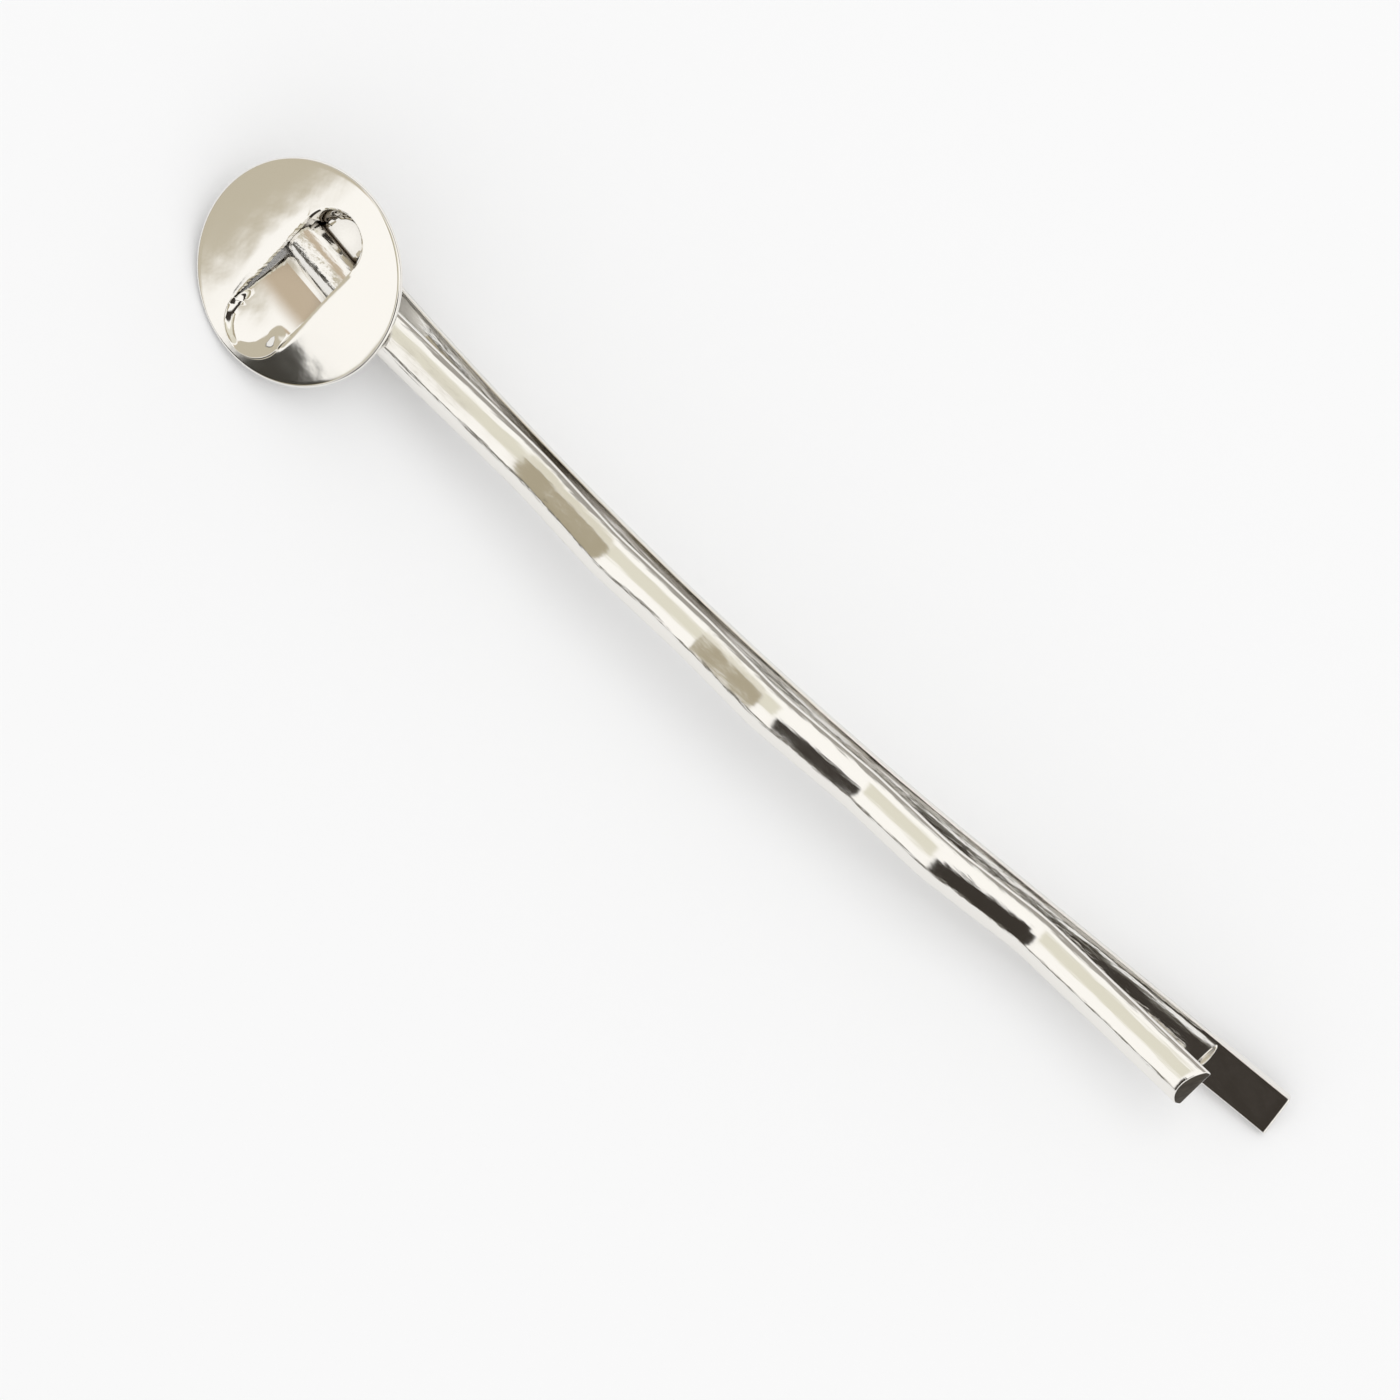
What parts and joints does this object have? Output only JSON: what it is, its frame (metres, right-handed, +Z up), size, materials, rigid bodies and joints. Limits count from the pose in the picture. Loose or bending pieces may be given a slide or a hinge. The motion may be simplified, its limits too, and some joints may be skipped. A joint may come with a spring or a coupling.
{
  "type": "bobby pin",
  "caption": "Spring-wire bobby pin with a plain arched leg, a wavy leg and a round flat pad for gluing a decoration to.",
  "frame": {"origin": "bottom centre of the part's box, on the surface that it lies on with its fold, the pad's rim and the long leg's end", "axes": "+X along the pin from the fold towards the tips, +Z up from the surface it lies on, +Y towards the side that the pad's raised rim is on"},
  "size_m": [0.0613, 0.0086, 0.0062],
  "materials": {
    "pad_plate": "bright nickel plate, mirror-like and faintly warm",
    "wire": "bright nickel plate over spring steel, mirror-like and faintly warm"
  },
  "bodies": {
    "pad_and_wavy_leg": {"pad": "pad_plate", "wavy_leg": "wire", "fold": "wire"},
    "long_leg": {"long_leg": "wire"}
  },
  "joints": [
    {"name": "legs_spread", "type": "hinge", "parent": "pad_and_wavy_leg", "child": "long_leg", "pos_m": [-0.02661, 0.00189, 0.00163], "axis": [0, 0.8397, 0.5431], "range_deg": [0, 15], "stiffness_Nm_per_rad": 0.08, "springref_deg": -2.86, "deforming": ["fold"]}
  ]
}
